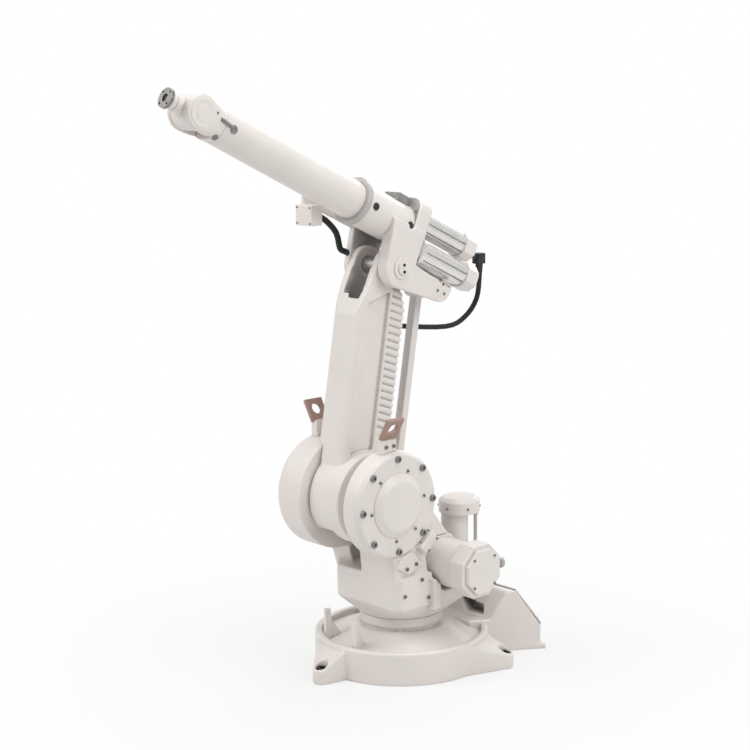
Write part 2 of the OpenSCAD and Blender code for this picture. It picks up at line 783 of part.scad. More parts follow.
// Inner ear that carries the rod's upper pin, with its arm to the bridge behind the rod's eye
module ear_side() {
    translate([-crank_len, 0]) circle(eye_r - 1);
    translate([-bridge_x, 4]) square([bridge_x - crank_len, 18]);
}

module upper_arm_housing() color(paint) at_upper_arm() difference() {
    union() {
        translate([0, 0, elbow_up]) x_rod(barrel_r, -10, barrel_front);
        // Block that carries the rear motors
        translate([-flange_rear, 0, elbow_up]) rotate([90, 0, 90]) linear_extrude(flange_t) difference() {
            translate([-fork_left + 2, -64]) square([2 * fork_left - 4, 64 + flange_r]);
            for (s = [0, 1]) mirror([s, 0]) translate([fork_left - 36, flange_r - 34]) difference() {
                square(36);
                circle(34);
            }
        }
        y_plate(fork_in_left, fork_left) lug_side();
        y_plate(fork_right, fork_in_right) lug_side();
        // Saddle that joins the two lugs under the barrel
        translate([-flange_rear + 8, fork_right + 2, elbow_up - 30])
            cube([flange_rear + lug_r + 4, fork_left - fork_right - 6, 28]);
        // Ear plate over the rod's upper end
        y_plate(fork_left - ear_t, fork_left - 1) ear_plate_side();
        for (y0 = [link_y - rod_t / 2 - crank_t - run_gap, link_y + rod_t / 2 + run_gap])
            y_plate(y0, y0 + crank_t) ear_side();
        // Bridge behind the rod's eye, from the ear plate to the inner ears
        y_plate(link_y - rod_t / 2 - crank_t - run_gap + 1, fork_left - 3)
            translate([-bridge_x, 5]) square([bridge_x - crank_len - eye_r - 1.5, 16]);
    }
    y_rod(elbow_r + run_gap, fork_right - 1, fork_left + 1);
    // Room for the lower arm's tongues
    y_rod(tongue_r + swing_gap + 16, fork_in_right, fork_in_left);
    translate([-crank_len, 0, 0]) y_rod(pin_r + run_gap, link_y - rod_t, link_y + rod_t);
    // Forearm bearing seat
    translate([0, 0, elbow_up]) x_rod(tube_r + run_gap, barrel_front - 20, barrel_front + 1);
    // Seats of the side plugs
    for (x = plug_places) translate([x, 0, elbow_up]) y_rod(plug_r + run_gap, barrel_r - 12, barrel_r + 12);
}

module side_plugs() color(black) at_barrel() for (x = plug_places)
    translate([x, 0, 0]) y_rod(plug_r, barrel_r - 12, barrel_r + 1);

module front_collar() color(paint) at_barrel() difference() {
    x_rod(barrel_r + 7, barrel_front - 7, barrel_front + 8);
    x_rod(barrel_r + run_gap, barrel_front - 8, barrel_front);
    x_rod(tube_r + run_gap, barrel_front - 1, barrel_front + 9);
}

module elbow_cap() color(paint) at_upper_arm() {
    y_rod(elbow_r + 6, fork_left, fork_left + 4);
    y_rod(elbow_r - 5, fork_left + 3, fork_left + 9);
}

// Small cable box on top of the barrel, ahead of the rear block
module top_box() color(black) at_barrel() difference() {
    translate([flange_t - flange_rear + 0.5, -barrel_r * 0.7, barrel_r * 0.6])
        cube([flange_t, barrel_r, flange_r - barrel_r * 0.6 - 6]);
    x_rod(barrel_r + run_gap, -20, barrel_front);
}

module ear_pin() color(steel) at_upper_arm() translate([-crank_len, 0, 0])
    y_rod(pin_r, link_y - rod_t / 2 - crank_t, link_y + rod_t / 2 + crank_t);

// Motor on the rear block, placed off the barrel's centre line
module rear_motor(place) {
    at_barrel() translate([0, place[0], place[1]]) {
        x_rod(rear_motor_r + 2, -flange_rear - 12, -flange_rear);
        x_rod(rear_motor_r - 3, -flange_rear - rear_motor_len, -flange_rear - 11);
    }
}

module rear_motors() color(steel) for (p = rear_motor_places) rear_motor(p);

module rear_motor_caps() color(paint) at_barrel() for (p = rear_motor_places)
    translate([-flange_rear - rear_motor_len - rear_cap_len, p[0], p[1]]) rotate([0, 90, 0]) {
        translate([0, 0, 8]) linear_extrude(rear_cap_len - 8)
            chamfered(2 * rear_motor_r, 2 * rear_motor_r, 18);
        linear_extrude(8) chamfered(2 * rear_motor_r - 12, 2 * rear_motor_r - 12, 16);
    }

// Frame of a piece that stands upright at rest, at the point p of the upper arm's X and Z
module upright(x, y, z) {
    at_upper_arm() translate([x, y, z]) rotate([0, pitch_up, 0]) children();
}

// Elbow plug behind the top motor, its outlet pointing down
module rear_connector() color(black) {
    at_upper_arm() translate([0, conn_y, conn_z]) x_rod(9, conn_x, conn_x + 34);
    upright(conn_x, conn_y, conn_z) {
        translate([-12, -12, -14]) cube([26, 24, 28]);
        translate([0, 0, -26]) cylinder(r = 10, h = 13);
    }
}

// Signal box beside the forearm, on a bracket from the right elbow lug
module signal_box() color(paint) {
    upright(box_x, 0, box_z) {
        translate([-box_d, box_y - box_w, 0]) cube([box_d, box_w, box_h]);
        translate([-box_d + 6, bracket_y, box_h - 2]) cube([16, 11, 26]);
    }
    at_upper_arm() difference() {
        translate([lug_r, bracket_y - 1, bracket_z]) cube([box_x - lug_r - 2, 12, 18]);
        y_plate(fork_right - 1, fork_in_right + 1) lug_side();
        translate([0, fork_right, bracket_z - 1]) cube([lug_r + 12, fork_right_t, 20]);
    }
}

// Glands at the two ends of the front cable
module front_glands() color(black) {
    upright(box_x, front_y, box_z) translate([-box_d - 10, 0, box_out]) x_rod(gland_r - 1, 0, 10);
    at_upper_arm() difference() {
        translate([0, front_y, lug_out_z]) x_rod(gland_r - 3, lug_r - 10, lug_out_x);
        y_plate(fork_right - 1, fork_in_right + 1) lug_side();
    }
}

// Round tube along a list of points, as rings set square to the path and, at the ends, to d0 and d1
module cord(path, r, d0, d1) {
    n = len(path);
    sides = 10;
    function chord(i) = let (d = path[min(i + 1, n - 1)] - path[max(i - 1, 0)]) d / norm(d);
    function dir(i) = i == 0 ? d0 : i == n - 1 ? d1 : chord(i);
    function side(i) = let (d = dir(i), u = cross(d, [0.31, 0.92, 0.24])) u / norm(u);
    function rim(i, k) = let (d = dir(i), u = side(i), v = cross(d, u), t = 360 * k / sides)
        path[i] + r * (u * cos(t) + v * sin(t));
    points = [for (i = [0 : n - 1]) for (k = [0 : sides - 1]) rim(i, k)];
    walls = [for (i = [0 : n - 2]) for (k = [0 : sides - 1])
        [i * sides + k, i * sides + (k + 1) % sides,
         (i + 1) * sides + (k + 1) % sides, (i + 1) * sides + k]];
    ends = [[for (k = [sides - 1 : -1 : 0]) k], [for (k = [0 : sides - 1]) (n - 1) * sides + k]];
    polyhedron(points, concat(walls, ends));
}

// Smooth path through route points, with a number of steps between neighbours
function spline(p, steps) = [
    for (i = [0 : len(p) - 2]) for (k = [0 : (i == len(p) - 2 ? steps : steps - 1)])
        let (t = k / steps, a = p[max(i - 1, 0)], b = p[i], c = p[i + 1], d = p[min(i + 2, len(p) - 1)])
        0.5 * (2 * b + (c - a) * t + (2 * a - 5 * b + 4 * c - d) * t * t
            + (3 * b - a - 3 * c + d) * t * t * t)
];

module front_cable() color(black) cord(spline(front_route, 3), cable_r, [-1, 0, 0], along_upper(-1));

module rear_cable() color(black) cord(spline(rear_route, 4), rear_cable_r, [0, 0, -1], along_lower(1));

module lower_gland() color(black) at_lower_arm() translate([0, gland_y, gland_z])
    x_rod(9, -arm_rear - 14, -arm_rear);

// Forearm and wrist

module forearm_tube() color(paint) at_barrel()
    x_rod(tube_r, barrel_front - 20 + run_gap, fork_root, tube_tip_r);

// Head that runs from the round tube into two flat tines
module wrist_fork() color(paint) at_barrel() difference() {
    hull() {
        x_rod(tube_tip_r, fork_root, fork_root + 2);
        translate([forearm_len, 0, 0]) {
            y_rod(disc_r - 3, -wrist_half, wrist_half);
            y_rod(disc_r, -wrist_half + 3, wrist_half - 3);
        }
    }
    translate([fork_root + 20, -wrist_half + tine_t, -2 * disc_r])
        cube([forearm_len, 2 * (wrist_half - tine_t), 4 * disc_r]);
}

module wrist_housing() color(paint) at_barrel() translate([forearm_len, 0, 0]) {
    y_rod(disc_r - 2, -wrist_half + tine_t + run_gap, wrist_half - tine_t - run_gap);
    x_rod(tool_r + 1, 0, wrist_len - 26, tool_r - 5);
}

module tool_flange() color(steel) at_barrel() translate([forearm_len, 0, 0]) difference() {
    union() {
        x_rod(tool_r - 6, wrist_len - 26 + run_gap, wrist_len - 8);
        x_rod(tool_r, wrist_len - 9, wrist_len);
    }
    for (a = [45 : 90 : 315]) rotate([a, 0, 0]) translate([0, tool_pcd / 2, 0])
        x_rod(tool_bore / 2, wrist_len - 10, wrist_len + 1);
    x_rod(pilot_r, wrist_len - pilot_d, wrist_len + 1);
}

base_casting();
stop_posts();
rear_housing();
rear_gasket();
rear_cover();
cable_sockets();
turning_ring();
turret_frame();
axis2_gearbox();
axis2_cover();
axis3_gearbox();
axis3_cover();
axis2_motor();
axis2_motor_cap();
axis3_motor();
axis3_motor_cap();
axis1_motor();
axis1_motor_cap();
axis1_connector();
lug_feet();
left_lifting_lug();
right_lifting_lug();
lower_arm_casting();
elbow_shaft();
lower_gland();
crank_lever();
crank_pin();
linkage_rod();
upper_arm_housing();
front_collar();
elbow_cap();
ear_pin();
side_plugs();
top_box();
rear_motors();
rear_motor_caps();
rear_connector();
signal_box();
front_glands();
front_cable();
rear_cable();
forearm_tube();
wrist_fork();
wrist_housing();
tool_flange();
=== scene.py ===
"""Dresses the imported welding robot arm: soft cast edges, paint, motors, bolts, cables, light and camera."""
import json
import math
import bmesh
import bpy
import numpy as np
from mathutils import Matrix, Vector
from mathutils.bvhtree import BVHTree

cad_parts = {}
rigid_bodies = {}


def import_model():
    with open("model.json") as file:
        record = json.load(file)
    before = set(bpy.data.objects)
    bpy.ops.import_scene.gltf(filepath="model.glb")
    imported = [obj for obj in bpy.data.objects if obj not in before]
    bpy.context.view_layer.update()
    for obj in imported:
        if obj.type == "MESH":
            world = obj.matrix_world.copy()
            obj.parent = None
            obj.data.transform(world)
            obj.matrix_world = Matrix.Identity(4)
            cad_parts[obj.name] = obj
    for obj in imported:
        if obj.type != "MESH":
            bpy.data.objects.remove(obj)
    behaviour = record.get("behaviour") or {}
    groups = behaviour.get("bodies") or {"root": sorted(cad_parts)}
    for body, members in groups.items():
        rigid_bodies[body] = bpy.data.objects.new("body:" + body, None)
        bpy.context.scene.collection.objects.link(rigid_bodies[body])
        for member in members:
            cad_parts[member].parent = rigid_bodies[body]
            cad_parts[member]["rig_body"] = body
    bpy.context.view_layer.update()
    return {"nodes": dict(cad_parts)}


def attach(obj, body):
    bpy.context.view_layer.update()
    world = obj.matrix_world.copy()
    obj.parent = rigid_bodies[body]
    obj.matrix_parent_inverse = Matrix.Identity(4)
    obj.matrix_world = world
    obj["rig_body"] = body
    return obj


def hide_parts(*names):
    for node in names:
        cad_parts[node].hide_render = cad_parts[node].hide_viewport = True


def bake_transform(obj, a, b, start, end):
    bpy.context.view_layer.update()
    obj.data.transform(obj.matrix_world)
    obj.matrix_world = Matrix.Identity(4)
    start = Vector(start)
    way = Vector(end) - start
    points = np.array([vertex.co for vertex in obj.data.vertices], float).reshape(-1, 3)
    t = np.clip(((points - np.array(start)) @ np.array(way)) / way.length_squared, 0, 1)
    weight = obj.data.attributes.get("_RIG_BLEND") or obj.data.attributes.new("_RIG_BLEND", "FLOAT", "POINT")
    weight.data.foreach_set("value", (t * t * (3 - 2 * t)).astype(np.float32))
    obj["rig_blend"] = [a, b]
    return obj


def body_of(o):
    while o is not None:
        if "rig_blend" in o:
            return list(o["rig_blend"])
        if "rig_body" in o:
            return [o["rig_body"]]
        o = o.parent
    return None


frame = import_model()
scene = bpy.context.scene


# Places on the arm, in millimetres as in the part's source, given back in metres

AXIS2 = Vector((150, 0, 475))
LEAN = math.radians(10)
PITCH = math.radians(25.3)
LOWER_LENGTH = 600
BARREL_UP = 113
REAR_MOTORS = ((0, 34), (40, -48), (-40, -48))  # across and up from the forearm's centre line
X, Y, Z = Vector((1, 0, 0)), Vector((0, 1, 0)), Vector((0, 0, 1))


def turned(angle, x, z):
    """A step of x along and z up in a frame that is pitched up by angle."""
    return Vector((math.cos(angle) * x - math.sin(angle) * z, 0, math.sin(angle) * x + math.cos(angle) * z))


def ahead(angle, x, z):
    """The same step in metres."""
    return turned(angle, x, z) / 1000


ELBOW = AXIS2 + turned(LEAN, 0, LOWER_LENGTH)


def world(x, y, z):
    """A point, or a step, in the part's frame."""
    return Vector((x, y, z)) / 1000


def lower(x, y, z):
    """A point of the lower arm: Z runs from axis 2 to the elbow."""
    return (AXIS2 + turned(LEAN, x, z) + Vector((0, y, 0))) / 1000


def upper(x, y, z):
    """A point of the upper arm: X runs from the elbow along the forearm."""
    return (ELBOW + turned(PITCH, x, z) + Vector((0, y, 0))) / 1000


def barrel(x, y, z):
    """A point measured from the forearm's centre line."""
    return upper(x, y, z + BARREL_UP)


def upper_way(x, y, z):
    """A direction in the upper arm's frame."""
    return (turned(PITCH, x, z) + Vector((0, y, 0))).normalized()


def lower_way(x, y, z):
    """A direction in the lower arm's frame."""
    return (turned(LEAN, x, z) + Vector((0, y, 0))).normalized()


def on_axis2(y):
    """A point on the line of axis 2."""
    return world(AXIS2.x, y, AXIS2.z)


FRONT_CABLE_EXIT = upper(238, -95, 15) + world(-46, 0, 22)
REAR_CABLE_EXIT = upper(-304, 14, 138) + world(0, 0, -26)
LOWER_GLAND_MOUTH = lower(-80, -74.5, 452)


# Camera, at the photograph's viewing angle

CAMERA_PLACE = Vector((3.1350, 3.3394, 1.5826))
CAMERA_AZIMUTH, CAMERA_ELEVATION, CAMERA_ROLL = 42.402, 9.99, -0.695
CAMERA_LENS, CAMERA_SENSOR, CAMERA_REACH = 84.875, 36, 60


def place_camera():
    azimuth, elevation = math.radians(CAMERA_AZIMUTH), math.radians(CAMERA_ELEVATION)
    roll, level = math.radians(CAMERA_ROLL), math.cos(elevation)
    back = Vector((math.sin(azimuth) * level, math.cos(azimuth) * level, math.sin(elevation)))
    right = Z.cross(back).normalized()
    up = back.cross(right)
    right, up = math.cos(roll) * right + math.sin(roll) * up, math.cos(roll) * up - math.sin(roll) * right
    data = bpy.data.cameras.new("photo_camera")
    data.lens, data.sensor_width, data.sensor_fit = CAMERA_LENS, CAMERA_SENSOR, "HORIZONTAL"
    data.clip_end = CAMERA_REACH
    camera = bpy.data.objects.new("photo_camera", data)
    turn = Matrix((right, up, back)).transposed().to_4x4()
    camera.matrix_world = Matrix.Translation(CAMERA_PLACE) @ turn
    scene.collection.objects.link(camera)
    scene.camera = camera


place_camera()


# Materials

class Finish:
    """A node material in the making, with short calls for the nodes that the finishes share."""

    def __init__(self, name):
        self.material = bpy.data.materials.new(name)
        self.material.use_nodes = True
        self.nodes = self.material.node_tree.nodes
        self.links = self.material.node_tree.links
        self.shader = self.nodes["Principled BSDF"]
        self.place = self.nodes.new("ShaderNodeTexCoord").outputs["Object"]

    def noise(self, scale, detail=3.0, roughness=0.5, stretch=None):
        """Noise over the piece, in features per metre, drawn out along an axis by stretch."""
        node = self.nodes.new("ShaderNodeTexNoise")
        node.inputs["Scale"].default_value = scale
        node.inputs["Detail"].default_value = detail
        node.inputs["Roughness"].default_value = roughness
        place = self.place
        if stretch:
            mapping = self.nodes.new("ShaderNodeMapping")
            mapping.inputs["Scale"].default_value = stretch
            self.links.new(place, mapping.inputs["Vector"])
            place = mapping.outputs["Vector"]
        self.links.new(place, node.inputs["Vector"])
        return node.outputs["Fac"]

    def ramp(self, value, stops):
        """Colours or greys along a value: stops are (position, grey or colour)."""
        node = self.nodes.new("ShaderNodeValToRGB")
        elements = node.color_ramp.elements
        while len(elements) < len(stops):
            elements.new(0.5)
        for element, (position, colour) in zip(elements, stops):
            element.position = position
            element.color = (*colour, 1) if isinstance(colour, tuple) else (colour, colour, colour, 1)
        self.links.new(value, node.inputs["Fac"])
        return node.outputs["Color"]

    def mix(self, factor, a, b, way="MIX"):
        """Colour a with b laid over it by factor; each is a socket or a colour."""
        node = self.nodes.new("ShaderNodeMix")
        node.data_type, node.blend_type = "RGBA", way
        for index, value in ((0, factor), (6, a), (7, b)):
            if isinstance(value, bpy.types.NodeSocket):
                self.links.new(value, node.inputs[index])
            else:
                node.inputs[index].default_value = (*value, 1) if isinstance(value, tuple) else value
        return node.outputs[2]

    def attribute(self, name):
        node = self.nodes.new("ShaderNodeAttribute")
        node.attribute_name = name
        return node.outputs["Fac"]

    def bump(self, height, strength, distance, below=None):
        node = self.nodes.new("ShaderNodeBump")
        node.inputs["Strength"].default_value = strength
        node.inputs["Distance"].default_value = distance
        self.links.new(height, node.inputs["Height"])
        if below:
            self.links.new(below, node.inputs["Normal"])
        return node.outputs["Normal"]

    def finish(self, colour, roughness, normal, **fixed):
        self.links.new(colour, self.shader.inputs["Base Color"])
        self.links.new(roughness, self.shader.inputs["Roughness"])
        self.links.new(normal, self.shader.inputs["Normal"])
        for name, value in fixed.items():
            self.shader.inputs[name.replace("_", " ")].default_value = value
        return self.material


def casting_paint(name, light, dark, dirt_and_shade_tint):
    """Sprayed enamel over sand-cast iron: slight mottle, dirt and painted shade in the creases, darker
    painted shade where the casting closes round a point, rubbed edges, orange peel.
    """
    f = Finish(name)
    mottle = f.ramp(f.noise(9, 4, 0.6), [(0.3, dark), (0.7, light)])
    # Creases darken towards the third colour: partly dirt, partly painted shade standing in for the shade in
    # corners.
    crease_dirt_and_shade = f.ramp(f.attribute("crease_dirt_and_shade"), [(0.12, 0.0), (0.75, 1.0)])
    dirtied_and_shaded = f.mix(crease_dirt_and_shade, mottle, dirt_and_shade_tint)
    # Points that the casting closes round darken much further: painted shade, as ambient occlusion gives it.
    occluded_paint_mask = f.ramp(f.attribute("painted_occlusion_shade"), [(0.28, 0.0), (1.0, 1.0)])
    dirtied_and_shaded = f.mix(occluded_paint_mask, dirtied_and_shaded, tuple(c * 0.4 for c in dirt_and_shade_tint))
    rubbed = f.ramp(f.mix(0.5, f.attribute("edge"), f.noise(70, 3), "MULTIPLY"), [(0.22, 0.0), (0.5, 0.6)])
    colour = f.mix(rubbed, dirtied_and_shaded, tuple(min(1.0, c * 1.06) for c in light))
    rough = f.ramp(f.noise(26, 5, 0.65), [(0.25, 0.28), (0.75, 0.42)])
    sand = f.bump(f.noise(160, 2), 0.10, 0.0012)
    peel = f.bump(f.noise(900, 2), 0.06, 0.0004, sand)
    return f.finish(colour, rough, peel, Specular_IOR_Level=0.45, Coat_Weight=0.12, Coat_Roughness=0.22)


def turned_metal(name, light, dark, rough, stretch, metal=1.0):
    """Metal with fine tool lines, and a thin haze of oil and finger marks."""
    f = Finish(name)
    lines = f.noise(220, 3, 0.6, stretch)
    colour = f.ramp(lines, [(0.3, dark), (0.7, light)])
    haze = f.ramp(f.noise(24, 4), [(0.3, rough), (0.75, min(1.0, rough + 0.16))])
    return f.finish(colour, haze, f.bump(lines, 0.05, 0.0003), Metallic=metal)


def moulded_black(name, colour, rough, grain):
    """Black moulding or jacket with a fine grain and a little grey dust."""
    f = Finish(name)
    dusty = tuple(c * 1.7 + 0.004 for c in colour)
    shade = f.ramp(f.noise(45, 4, 0.6), [(0.35, colour), (0.8, dusty)])
    haze = f.ramp(f.noise(120, 3), [(0.3, rough), (0.7, rough + 0.15)])
    return f.finish(shade, haze, f.bump(f.noise(grain, 2), 0.18, 0.0005), Specular_IOR_Level=0.4)


PAINT = casting_paint("white_casting_paint", (0.80, 0.755, 0.725), (0.765, 0.72, 0.69), (0.42, 0.395, 0.375))
COVER_PAINT = casting_paint("white_cover_paint", (0.81, 0.765, 0.735), (0.775, 0.73, 0.70),
                            (0.44, 0.415, 0.395))
LUG_PAINT = casting_paint("brown_lug_paint", (0.38, 0.25, 0.205), (0.30, 0.185, 0.145), (0.14, 0.09, 0.07))
MOTOR_ALLOY = turned_metal("motor_alloy", (0.86, 0.85, 0.84), (0.80, 0.79, 0.78), 0.26, (0.12, 1, 0.12))
STEEL = turned_metal("machined_steel", (0.62, 0.61, 0.60), (0.48, 0.47, 0.46), 0.3, (0.2, 3, 0.2))
DARK_STEEL = turned_metal("dark_flange_steel", (0.30, 0.29, 0.283), (0.25, 0.243, 0.237), 0.24, (3, 3, 3))
SOCKET_METAL = turned_metal("socket_alloy", (0.58, 0.58, 0.57), (0.46, 0.46, 0.46), 0.38, (1, 1, 1))
BOLT_ZINC = turned_metal("bolt_zinc", (0.34, 0.33, 0.32), (0.22, 0.215, 0.21), 0.38, (2, 2, 2))
# A grey copy of the casting paint for the front collar: painted shade.
COLLAR_PAINTED_SHADE_GREY = casting_paint("collar_painted_shade_grey", (0.52, 0.495, 0.475), (0.47, 0.45, 0.43), (0.28, 0.27, 0.26))
BLACK_BOLT = turned_metal("black_bolt_steel", (0.060, 0.058, 0.056), (0.030, 0.029, 0.028), 0.42, (2, 2, 2))
# Grey moulding for the forearm plugs; also the dark sleeves in the motor flutes, as painted reflection, and
# the top box, as painted shade.
GREY_MOULDING_PAINTED_SHADE_AND_REFLECTION = moulded_black("grey_moulding_painted_shade_and_reflection", (0.20, 0.20, 0.195), 0.5, 600)
GASKET = moulded_black("gasket_rubber", (0.055, 0.055, 0.058), 0.62, 700)
# Grey finish for the thin plate on the rear block's front face: painted shade.
PAINTED_SHADE_PLATE_GREY = moulded_black("painted_shade_plate_grey", (0.29, 0.277, 0.266), 0.6, 700)
BLACK_MOULDING = moulded_black("black_moulding", (0.022, 0.022, 0.023), 0.45, 600)
CABLE_JACKET = moulded_black("cable_jacket", (0.007, 0.007, 0.0075), 0.44, 1500)


# Making pieces

def plain_mesh(obj, name):
    """The evaluated mesh of obj as a mesh of its own; obj is then removed."""
    depsgraph = bpy.context.evaluated_depsgraph_get()
    mesh = bpy.data.meshes.new_from_object(obj.evaluated_get(depsgraph))
    mesh.name = name
    bpy.data.objects.remove(obj)
    return mesh


def add_piece(name, mesh, body, material):
    """Puts a finished mesh into the scene on its body, with its finish."""
    mesh.materials.clear()
    mesh.materials.append(material)
    piece = bpy.data.objects.new(name, mesh)
    scene.collection.objects.link(piece)
    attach(piece, body)
    return piece


RELIEF_GAIN = 6  # a bend of a sixth of the distance to the neighbours counts in full
WALL_START, WALL_REACH = 0.004, 0.25  # metres from a point within which a wall is looked for


def mark_relief(mesh, painted_occlusion_shade):
    """Stores how far each point stands proud of its neighbours (edge) and how far it lies in a corner, which
    the paint darkens as dirt and painted shade; if asked, also how closed in it is, which the paint darkens
    as painted shade."""
    count = len(mesh.vertices)
    points = np.empty(count * 3)
    mesh.vertices.foreach_get("co", points)
    points = points.reshape(-1, 3)
    normals = np.empty(count * 3)
    mesh.vertices.foreach_get("normal", normals)
    normals = normals.reshape(-1, 3)
    pairs = np.empty(len(mesh.edges) * 2, int)
    mesh.edges.foreach_get("vertices", pairs)
    a, b = pairs.reshape(-1, 2).T
    degree = np.maximum(np.bincount(a, minlength=count) + np.bincount(b, minlength=count), 1)

    def around(values):
        total = np.zeros(count)
        np.add.at(total, a, values[b])
        np.add.at(total, b, values[a])
        return total / degree

    middle = np.stack([around(points[:, k]) for k in range(3)], 1)
    span = np.zeros(count)
    length = np.linalg.norm(points[a] - points[b], axis=1)
    np.add.at(span, a, length)
    np.add.at(span, b, length)
    span = np.maximum(span / degree, 1e-6)
    bend = np.einsum("ij,ij->i", middle - points, normals) / span
    for _ in range(2):
        bend = 0.5 * bend + 0.5 * around(bend)
    marks = [("edge", -bend * RELIEF_GAIN), ("crease_dirt_and_shade", bend * RELIEF_GAIN)]
    # Rays from each point count how closed in it is, and the share is painted on as shade.
    if painted_occlusion_shade:
        tree = BVHTree.FromPolygons([v.co for v in mesh.vertices], [f.vertices for f in mesh.polygons])
        enclosed_shade_share = np.zeros(count)
        for i, vertex in enumerate(mesh.vertices):
            out = vertex.normal
            u = out.orthogonal().normalized()
            v = out.cross(u)
            start = vertex.co + out * WALL_START
            ways = (out, out + u, out - 0.5 * u + 0.87 * v, out - 0.5 * u - 0.87 * v)
            hits = [tree.ray_cast(start, way, WALL_REACH)[0] is not None for way in ways]
            enclosed_shade_share[i] = sum(hits) / len(ways)
        for _ in range(6):
            enclosed_shade_share = 0.5 * enclosed_shade_share + 0.5 * around(enclosed_shade_share)
        marks.append(("painted_occlusion_shade", enclosed_shade_share))
    for name, values in marks:
        layer = mesh.attributes.new(name, "FLOAT", "POINT")
        layer.data.foreach_set("value", np.clip(values, 0, 1).astype(np.float32))


def soft_casting(node, grain, rounds, keep, material, painted_occlusion_shade=False):
    """A copy of a CAD node with the small fillets that a casting or a machined cover has on all its edges."""
    source = frame["nodes"][node]
    mesh = source.data.copy()
    mesh.transform(source.matrix_world)
    shape = bmesh.new()
    shape.from_mesh(mesh)
    bmesh.ops.remove_doubles(shape, verts=shape.verts, dist=1e-6)
    shape.to_mesh(mesh)
    shape.free()
    rough = bpy.data.objects.new(node + "_rough", mesh)
    scene.collection.objects.link(rough)
    remesh = rough.modifiers.new("even_skin", "REMESH")
    remesh.mode, remesh.voxel_size = "VOXEL", grain / 1000
    smooth = rough.modifiers.new("fillets", "SMOOTH")
    smooth.factor, smooth.iterations = 0.5, rounds
    if keep < 1:
        thin = rough.modifiers.new("thinning", "DECIMATE")
        thin.ratio = keep
    mesh = plain_mesh(rough, node + "_skin")
    mesh.shade_smooth()
    mark_relief(mesh, painted_occlusion_shade)
    piece = add_piece(node + "_skin", mesh, body_of(source)[0], material)
    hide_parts(node)


# Cables, first of all because their routes belong to the CAD

def smooth_path(route, steps):
    """The source's smooth path through route points, in metres."""
    path = []
    last = len(route) - 2
    for i in range(last + 1):
        a, b, c, d = route[max(i - 1, 0)], route[i], route[i + 1], route[min(i + 2, last + 1)]
        for k in range(steps + (i == last)):
            t = k / steps
            path.append(0.5 * (2 * b + (c - a) * t + (2 * a - 5 * b + 4 * c - d) * t * t
                               + (3 * b - a - 3 * c + d) * t * t * t))
    return path


SIDEWAYS = Vector((0.31, 0.92, 0.24))  # no bent rod runs along it


class Fitting:
    """Collects turned, bent and extruded forms in one mesh: places in metres, sizes in millimetres."""

    def __init__(self):
        self.shape = bmesh.new()

    def skin(self, rings):
        """Joins rings of points into a closed form; a ring of one point is a tip."""
        for low, high in zip(rings, rings[1:]):
            for k in range(max(len(low), len(high))):
                corners = dict.fromkeys((low[k % len(low)], low[(k + 1) % len(low)],
                                         high[(k + 1) % len(high)], high[k % len(high)]))
                if len(corners) > 2:
                    self.shape.faces.new(list(corners))
        for end in (rings[0][::-1], rings[-1]):
            if len(end) > 2:
                self.shape.faces.new(end)
        return self

    def turned(self, place, way, profile, sides=32, flutes=0.0):
        """Revolves steps of (radius, height) about way; flutes is the depth of a groove at each 8th point."""
        u = way.orthogonal().normalized()
        v = way.cross(u)
        rings = []
        for radius, height in profile:
            centre = place + way * height / 1000
            ring = []
            for k in range(sides if radius else 1):
                t = 2 * math.pi * k / sides
                r = (radius - (flutes if k % 8 == 0 else 0)) / 1000
                ring.append(self.shape.verts.new(centre + r * (u * math.cos(t) + v * math.sin(t))))
            rings.append(ring)
        return self.skin(rings)

    def bent(self, path, radius, first, last, sides=20):
        """Round rod along a path, its ends square to the two directions given."""
        rings = []
        for i, point in enumerate(path):
            way = path[min(i + 1, len(path) - 1)] - path[max(i - 1, 0)]
            way = (first if i == 0 else last if i == len(path) - 1 else way).normalized()
            u = way.cross(SIDEWAYS).normalized()
            v = way.cross(u)
            rings.append([self.shape.verts.new(point + radius / 1000 * (u * math.cos(t) + v * math.sin(t)))
                          for t in (2 * math.pi * k / sides for k in range(sides))])
        return self.skin(rings)

    def plate(self, outline, way, steps):
        """Raises an outline along way by steps of (inset, height)."""
        middle = sum(outline, Vector()) / len(outline)
        rings = [[self.shape.verts.new(c + (middle - c).normalized() * inset / 1000 + way * height / 1000)
                  for c in outline] for inset, height in steps]
        return self.skin(rings)

    def mesh(self, name, sharp=38):
        bmesh.ops.recalc_face_normals(self.shape, faces=self.shape.faces)
        mesh = bpy.data.meshes.new(name)
        self.shape.to_mesh(mesh)
        self.shape.free()
        mesh.shade_smooth()
        mesh.set_sharp_from_angle(angle=math.radians(sharp))
        return mesh


def path_length(path):
    return sum((b - a).length for a, b in zip(path, path[1:]))


def lay_front_cable():
    """The short cable from the signal box back into the upper arm, which carries both its ends."""
    start, end = FRONT_CABLE_EXIT, upper(68, -95, 10)
    front = smooth_path([start, start + world(-14, 0, -1), start + world(-45, 0, -16),
                         start + world(-80, 0, -50), end + ahead(PITCH, 16, 2), end], 3)
    mesh = Fitting().bent(front, 8, -X, ahead(PITCH, -1, 0)).mesh("front_cable_jacket", 60)
    piece = add_piece("front_cable_jacket", mesh, "upper_arm", CABLE_JACKET)
    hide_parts("front_cable")


GLAND_HOLD = 0.04  # the share of the rear cable's length that stays with the lower arm
SHARE_POWER = 0.8


